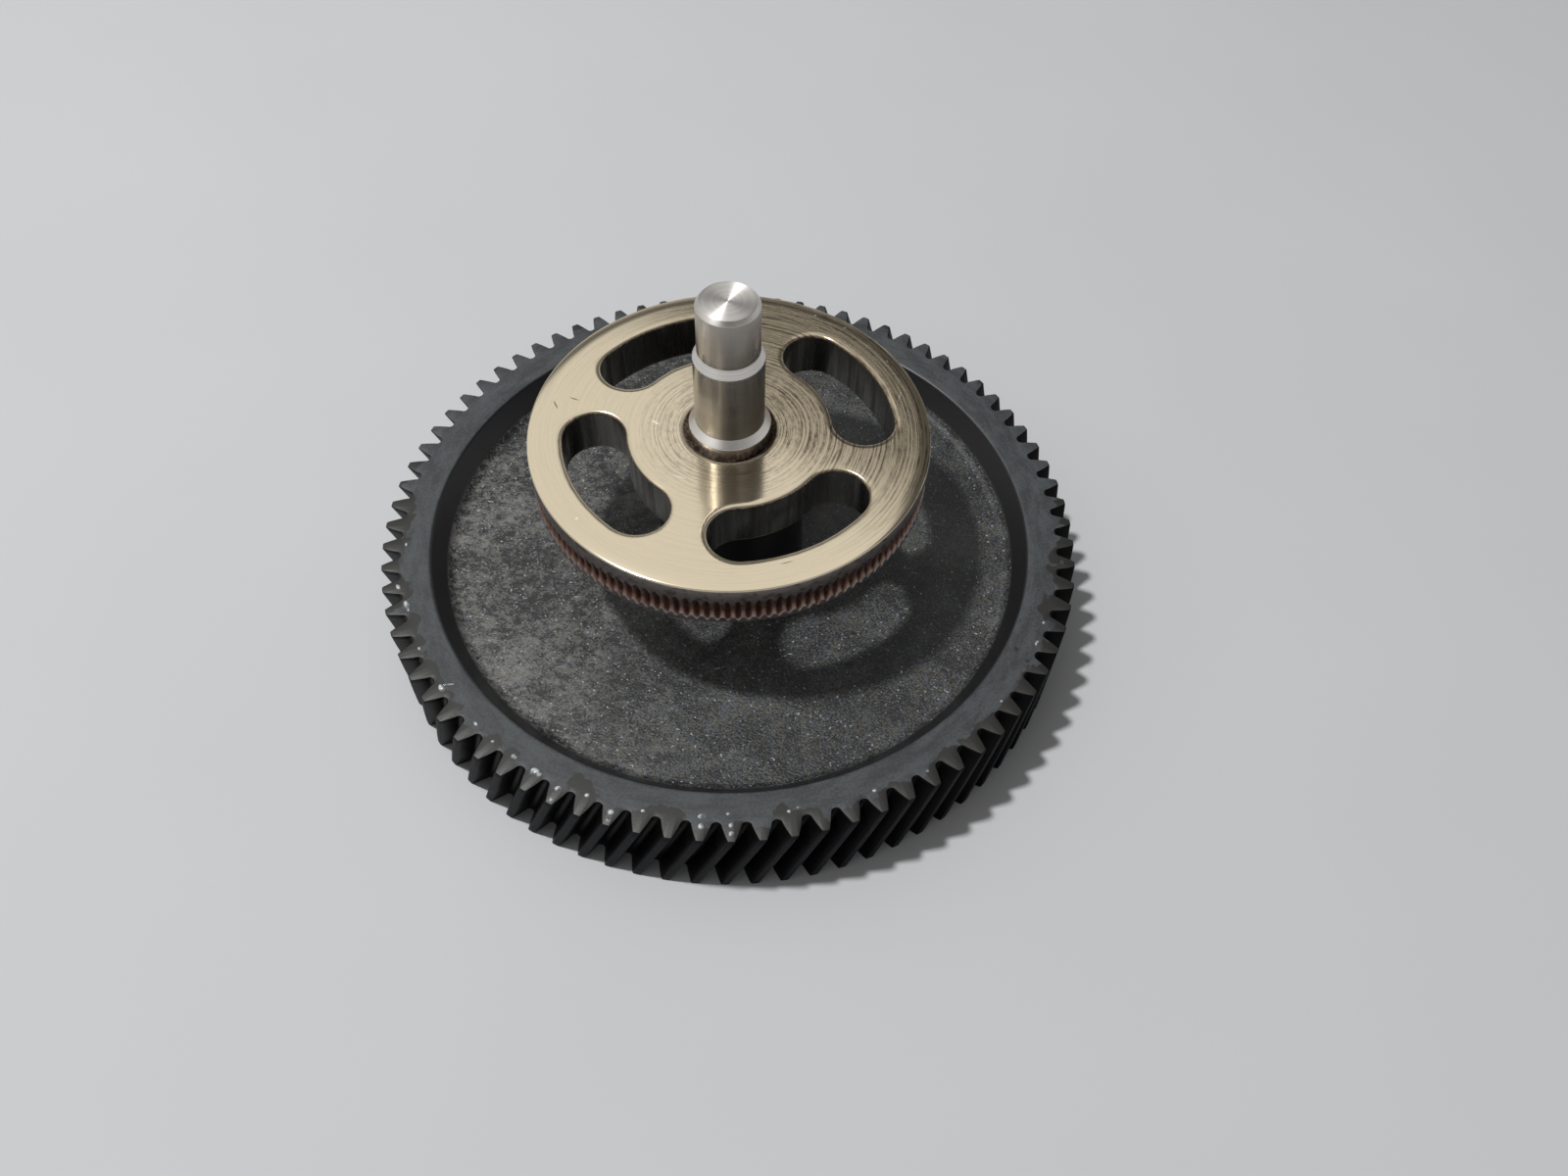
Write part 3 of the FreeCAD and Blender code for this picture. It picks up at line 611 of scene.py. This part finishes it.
def ontoGear(x, y, reach):
    # a bead past the rim is slid round to the middle of the nearest tooth, so that none hangs over a gap
    radius, angle = math.hypot(x, y), math.degrees(math.atan2(y, x))
    if radius + reach < beadShape["rimEnd"]:
        return x, y
    pitch = 360 / gear["teeth"]
    angle = math.radians(gear["phase"] + round((angle - gear["phase"]) / pitch) * pitch)
    return radius * math.cos(angle), radius * math.sin(angle)


def beadMesh():
    # each bead is a closed low dome, a little uneven, whose foot is sunk into the rim
    work = bmesh.new()
    b = beadShape
    foot = gear["width"] - b["sink"]
    for placeX, placeY, halfLength, halfWidth, degrees in greaseBeads:
        x, y = ontoGear(placeX, placeY, halfLength)
        turn = math.radians(degrees)
        height = b["rise"] * halfWidth
        rings = []
        for row in range(b["rows"]):
            swing = math.pi / 2 * row / b["rows"]
            z = foot + (height + b["sink"]) * math.sin(swing)
            ring = []
            for k in range(b["sides"]):
                a = 2 * math.pi * k / b["sides"]
                wander = noise.noise(Vector((x * 3 + math.cos(a), y * 3 + math.sin(a), 2.0)))
                share = math.cos(swing) * (1 + b["uneven"] * wander)
                u, v = halfLength * math.cos(a) * share, halfWidth * math.sin(a) * share
                ring.append((x + u * math.cos(turn) - v * math.sin(turn),
                             y + u * math.sin(turn) + v * math.cos(turn), z))
            rings.append(addRing(work, ring))
        work.faces.new(rings[0])
        for low, high in zip(rings, rings[1:]):
            joinRings(work, low, high)
        peak = work.verts.new((x, y, gear["width"] + height))
        top = rings[-1]
        for k in range(len(top)):
            work.faces.new((top[k - 1], top[k], peak))
    finishPiece("greaseBeads", work, [greaseMat], None, sharpAngle=60)


beadMesh()

# millimetres and degrees; a gullet is a share of the tooth pitch. The lists are profiles of the wheel's edge,
# its slots and its bore: how far outward a point lies, how far from the nearer face, and the grime on it
wheel = {"radius": 11.66, "face": 14.55, "width": 3.0, "margin": 10.9, "bore": 2.37, "boreSides": 160,
         "slots": 4, "slotRadius": 7.82, "slotWidth": 3.66, "slotHalfTurn": 22.7, "slotDirection": 30.3,
         "chips": 0.02, "teeth": 130, "perTooth": 16, "middle": 1.82, "length": 1.74, "toothDepth": 0.42,
         "gullet": 0.62, "softBottom": 0.03, "toothRows": 26, "channel": 1.2, "channelDepth": 0.16,
         "overBand": 0.04, "underBand": 0.03,
         "upperEdge": [(-0.15, 0), (-0.054, 0.036), (-0.01, 0.12), (0, 0.17)],
         "lowerEdge": [(0, 0.15), (-0.12, 0)],
         "slotTop": [(0.38, 0, 0), (0.16, 0, 0.1), (0.072, 0.04, 0.2), (0.0192, 0.0992, 0.85), (0, 0.192, 1)],
         "slotFoot": [(0, 0.192, 0.2), (0.048, 0.048, 0.3), (0.16, 0, 0.3)],
         "throat": [(0.6, 0, 0), (0.38, 0, 0.5), (0.33, 0.02, 1), (0, 0.35, 1)]}


def slotLoop(direction, halfWidth, z, steps=20):
    # outline of one curved slot with full round ends
    middle, half = wheel["slotRadius"], math.radians(wheel["slotHalfTurn"])
    start, end = direction - half, direction + half
    loop = []
    for k in range(steps * 2):
        a = start + (end - start) * k / (steps * 2)
        loop.append(((middle + halfWidth) * math.cos(a), (middle + halfWidth) * math.sin(a), z))
    for k in range(steps):
        a = end + math.pi * k / steps
        loop.append((middle * math.cos(end) + halfWidth * math.cos(a),
                     middle * math.sin(end) + halfWidth * math.sin(a), z))
    for k in range(steps * 2):
        a = end - (end - start) * k / (steps * 2)
        loop.append(((middle - halfWidth) * math.cos(a), (middle - halfWidth) * math.sin(a), z))
    for k in range(steps):
        a = start + math.pi + math.pi * k / steps
        loop.append((middle * math.cos(start) + halfWidth * math.cos(a),
                     middle * math.sin(start) + halfWidth * math.sin(a), z))
    return loop


def chipped(ring, depth):
    # lowers a chamfer here and there, as a worn edge is: broad chips every 0.4 mm or so and small ones
    # between them, from a noise that is fixed by the place
    moved = []
    for x, y, z in ring:
        broad = noise.noise(Vector((x * 2.3, y * 2.3, 5.0)))
        small = noise.noise(Vector((x * 6.0, y * 6.0, 9.0)))
        moved.append((x, y, z - depth * max(0.0, broad + 0.5 * small)))
    return moved


def hollow(offset, length, depth):
    # depth of a shallow round cut at a distance from its middle
    if abs(offset) >= length / 2:
        return 0.0
    radius = (length ** 2 / 4 + depth ** 2) / (2 * depth)
    return math.sqrt(radius ** 2 - offset ** 2) - (radius - depth)


def edgeRing(r, z, toothed):
    # one level of the wheel's edge; in the toothed band a V with a soft bottom
    # is cut into the shallow channel
    w = wheel
    count = w["teeth"] * w["perTooth"]
    pitch = 2 * math.pi / w["teeth"] * w["radius"]
    slope = (w["toothDepth"] - w["channelDepth"]) / (pitch * w["gullet"] / 2)
    fromMiddle = z - (w["face"] - w["middle"])
    crest = hollow(fromMiddle, w["channel"], w["channelDepth"])
    notch = hollow(fromMiddle, w["length"], w["toothDepth"])
    ring = []
    for i in range(count):
        a = 2 * math.pi * i / count
        side = abs((i % w["perTooth"]) / w["perTooth"] - 0.5) * pitch
        valley = notch + w["softBottom"] - math.hypot(side * slope, w["softBottom"])
        depth = max(crest, valley) if toothed else 0.0
        ring.append(((r - depth) * math.cos(a), (r - depth) * math.sin(a), z))
    return ring


def wheelMesh():
    w = wheel
    top, low, outer, rows = w["face"], w["face"] - w["width"], w["radius"], w["toothRows"]
    upper, lower = top - w["middle"] + w["length"] / 2, top - w["middle"] - w["length"] / 2
    levels = [(w["margin"], top, False)]
    levels += [(outer + out, top - down, False) for out, down in w["upperEdge"]]
    levels.append((outer, upper + w["overBand"], False))
    for k in range(rows + 1):
        share = 0.5 - 0.5 * math.cos(math.pi * k / rows)
        levels.append((outer, upper + (lower - upper) * share, True))
    levels.append((outer, lower - w["underBand"], False))
    levels += [(outer + out, low + up, False) for out, up in w["lowerEdge"]]
    levels.append((w["margin"], low, False))
    work = bmesh.new()
    rings = [addRing(work, edgeRing(*level)) for level in levels]
    for number, (a, b) in enumerate(zip(rings, rings[1:])):
        # the face with its rounded edge is turned, and so is the underside
        turned = number < len(w["upperEdge"]) - 1 or number == len(rings) - 2
        joinRings(work, a, b, 0 if turned else 2)
    rims = {top: [rings[0]], low: [rings[-1]]}
    half = w["slotWidth"] / 2
    for number in range(w["slots"]):
        direction = math.radians(w["slotDirection"]) + number * 2 * math.pi / w["slots"]
        loops = []
        for out, down, grime in w["slotTop"]:
            loop = slotLoop(direction, half + out, top - down)
            loops.append(addRing(work, chipped(loop, w["chips"] if down > 0 else 0.0), grime))
        for out, up, grime in w["slotFoot"]:
            loops.append(addRing(work, slotLoop(direction, half + out, low + up), grime))
        for k, (a, b) in enumerate(zip(loops, loops[1:])):
            joinRings(work, a, b, 1 if k == len(w["slotTop"]) - 1 else 0)
        rims[top].append(loops[0])
        rims[low].append(loops[-1])
    throat = [(w["bore"] + out, top - down, grime) for out, down, grime in w["throat"]]
    throat.append((w["bore"], low, 1))
    loops = [addRing(work, circle(r, z, w["boreSides"]), grime) for r, z, grime in throat]
    for a, b in zip(loops, loops[1:]):
        joinRings(work, a, b)
    rims[top].append(loops[0])
    rims[low].append(loops[-1])
    for level in (top, low):
        edges = []
        for loop in rims[level]:
            edges += [work.edges.get((loop[i - 1], loop[i])) for i in range(len(loop))]
        bmesh.ops.triangle_fill(work, use_beauty=True, use_dissolve=False, edges=edges)
    finishPiece("driveWheel", work, [faceMat, wallMat, edgeMat], "drive_wheel", sharpAngle=38)


wheelMesh()

# millimetres; tipChamfer is how far in and how far down, and the names that end in Round are edge roundings
shaft = {"bottom": 0.15, "top": 23.95, "collar": 2.36, "collarTop": 15.17, "bevel": 0.42, "journal": 2.0,
         "journalEnd": 20.2, "step": 0.5, "tip": 1.75, "tipChamfer": (0.2, 0.25), "chamfer": 0.22,
         "core": 0.5, "endRound": 0.03, "tipRound": 0.05, "stepRound": 0.12, "collarRound": 0.06,
         "footRound": 0.04, "sides": 240}


def shaftMesh():
    s = shaft
    tipIn, tipDown = s["tipChamfer"]
    corners = [(s["core"], s["top"], 0), (s["tip"] - tipIn, s["top"], s["endRound"]),
               (s["tip"], s["top"] - tipDown, s["tipRound"]),
               (s["tip"], s["journalEnd"] + s["step"], s["stepRound"]),
               (s["journal"], s["journalEnd"], s["stepRound"]),
               (s["journal"], s["collarTop"] + s["bevel"], s["collarRound"]),
               (s["collar"], s["collarTop"], s["collarRound"]),
               (s["collar"], s["bottom"] + s["chamfer"], s["footRound"]),
               (s["collar"] - s["chamfer"], s["bottom"], s["footRound"]), (s["core"], s["bottom"], 0)]
    profile = roundedProfile(corners)
    work = bmesh.new()
    rings = [addRing(work, circle(r, z, s["sides"])) for r, z in profile]
    for k, (a, b) in enumerate(zip(rings, rings[1:])):
        # the ends are turned, the journals are ground, and the bevels and roundings are turned more finely
        flat = abs(profile[k][1] - profile[k + 1][1]) < 0.001
        upright = abs(profile[k][0] - profile[k + 1][0]) < 0.001
        joinRings(work, a, b, 0 if flat else 1 if upright else 2)
    work.faces.new(rings[0])
    work.faces.new(rings[-1])
    finishPiece("steppedShaft", work, [endMat, groundMat, bevelMat], "shaft", sharpAngle=30)


shaftMesh()

# the floor, the light and the camera, in metres
studio = {"sheet": "#c8c9cb", "fleck": "#cdcecf", "thrown": "#66676a", "mottle": 0.025, "reach": 2.0}


def paperMatt():
    # the studio floor: plain pale paper with hardly any tooth
    material, tree = startMaterial("paperMatt")
    place = addNode(tree, "TexCoord", out="Object")
    mottle = addNode(tree, "TexNoise", {"Scale": 1 / studio["mottle"], "Detail": 2.0}, {"Vector": place})
    hues = {6: hexColor(studio["sheet"]), 7: hexColor(studio["fleck"])}
    color = addNode(tree, "Mix", {**colorMix, **hues}, {0: mottle}, out=2)
    # pale to the eye and in the metal's mirror, darker to the light that it throws back
    thrown = addNode(tree, "LightPath", out="Is Diffuse Ray")
    seen = addNode(tree, "Mix", {**colorMix, 7: hexColor(studio["thrown"])}, {0: thrown, 6: color}, out=2)
    shader = addNode(tree, "BsdfPrincipled", {"Roughness": 0.9}, {"Base Color": seen})
    addNode(tree, "OutputMaterial", {}, {"Surface": shader})
    return material


reach = studio["reach"]
floorCorners = [(-reach, -reach, 0), (reach, -reach, 0), (reach, reach, 0), (-reach, reach, 0)]
floorMesh = bpy.data.meshes.new("studioFloor")
floorMesh.from_pydata(floorCorners, [], [(0, 1, 2, 3)])
floorMesh.materials.append(paperMatt())
floor = bpy.data.objects.new("studioFloor", floorMesh)
bpy.context.scene.collection.objects.link(floor)

# lengths in metres; directions point from the part, and the wall and ceiling levels are strengths of white
light = {"keyFrom": (-0.38, -0.02, 0.92), "keyAim": (0, 0, 0.008), "keyDistance": 0.45, "keySize": 0.034,
         "keyWatts": 1.5, "ceilingTilt": (-0.4, 0.0, 1.0), "wallTop": 0.66, "ceilingFrom": 0.735,
         "wall": 0.14, "ceiling": 0.95, "fill": 0.44, "backdropTop": 0.5, "backdropFade": 0.14,
         "backdrop": 0.62, "flagToward": (0.0, -0.588, 0.809), "flagEdge": 0.9, "flagCore": 0.975,
         "flagDark": 0.78}

lampData = bpy.data.lights.new("keyLamp", "AREA")
lampData.shape = "DISK"
lampData.size = light["keySize"]
lampData.energy = light["keyWatts"]
lamp = bpy.data.objects.new("keyLamp", lampData)
away = Vector(light["keyFrom"]).normalized()
lamp.location = Vector(light["keyAim"]) + away * light["keyDistance"]
lamp.rotation_euler = (-away).to_track_quat("-Z", "Y").to_euler()
bpy.context.scene.collection.objects.link(lamp)

world = bpy.data.worlds.new("softRoom")
bpy.context.scene.world = world
world.use_nodes = True
room = world.node_tree
room.nodes.clear()
# a pale backdrop, darker walls over it and a pale ceiling, with one dark flag high at the front for the metal
looking = addNode(room, "TexCoord", out="Generated")
lean = addNode(room, "VectorMath", {**dot, 1: light["ceilingTilt"]}, {0: looking}, out="Value")
ceilingSpan = {1: light["wallTop"], 2: light["ceilingFrom"], 3: light["wall"], 4: light["ceiling"]}
ceiling = addNode(room, "MapRange", {**smooth, **ceilingSpan}, {0: lean})
rise = addNode(room, "SeparateXYZ", {}, {0: looking}, out=2)
backdropFoot = light["backdropTop"] - light["backdropFade"]
backdropSpan = {1: light["backdropTop"], 2: backdropFoot, 4: light["backdrop"]}
backdropLow = addNode(room, "MapRange", {**smooth, **backdropSpan}, {0: rise})
facing = addNode(room, "VectorMath", {**dot, 1: light["flagToward"]}, {0: looking}, out="Value")
flagSpan = {1: light["flagEdge"], 2: light["flagCore"], 3: 1.0, 4: 1.0 - light["flagDark"]}
flag = addNode(room, "MapRange", {**smooth, **flagSpan}, {0: facing})
overhead = addNode(room, "Math", times, {0: ceiling, 1: flag})
level = addNode(room, "Math", {"operation": "MAXIMUM"}, {0: overhead, 1: backdropLow})
# the room lights the part less than it shows, because the lamp casts most of the light
diffuse = addNode(room, "LightPath", out="Is Diffuse Ray")
share = addNode(room, "MapRange", {3: 1.0, 4: light["fill"]}, {0: diffuse})
shared = addNode(room, "Math", times, {0: level, 1: share})
backdrop = addNode(room, "Background", {"Color": hexColor("#ffffff")}, {"Strength": shared})
addNode(room, "OutputWorld", {}, {"Surface": backdrop})

# place in metres, angles in degrees
view = {"place": (0.0035142, -0.0481007, 0.0652088), "downward": 53.98508, "roll": 2.43176, "lens": 27.486,
        "sensor": 36.0, "nearest": 0.002}
cameraData = bpy.data.cameras.new("photoCamera")
cameraData.sensor_width = view["sensor"]
cameraData.lens = view["lens"]
cameraData.clip_start = view["nearest"]
camera = bpy.data.objects.new("photoCamera", cameraData)
tilt = Matrix.Rotation(math.radians(90 - view["downward"]), 4, "X")
roll = Matrix.Rotation(math.radians(view["roll"]), 4, "Z")
camera.matrix_world = Matrix.Translation(view["place"]) @ tilt @ roll
bpy.context.scene.collection.objects.link(camera)
bpy.context.scene.camera = camera
bpy.context.scene.view_settings.view_transform = "Standard"
print("camera and light placed")
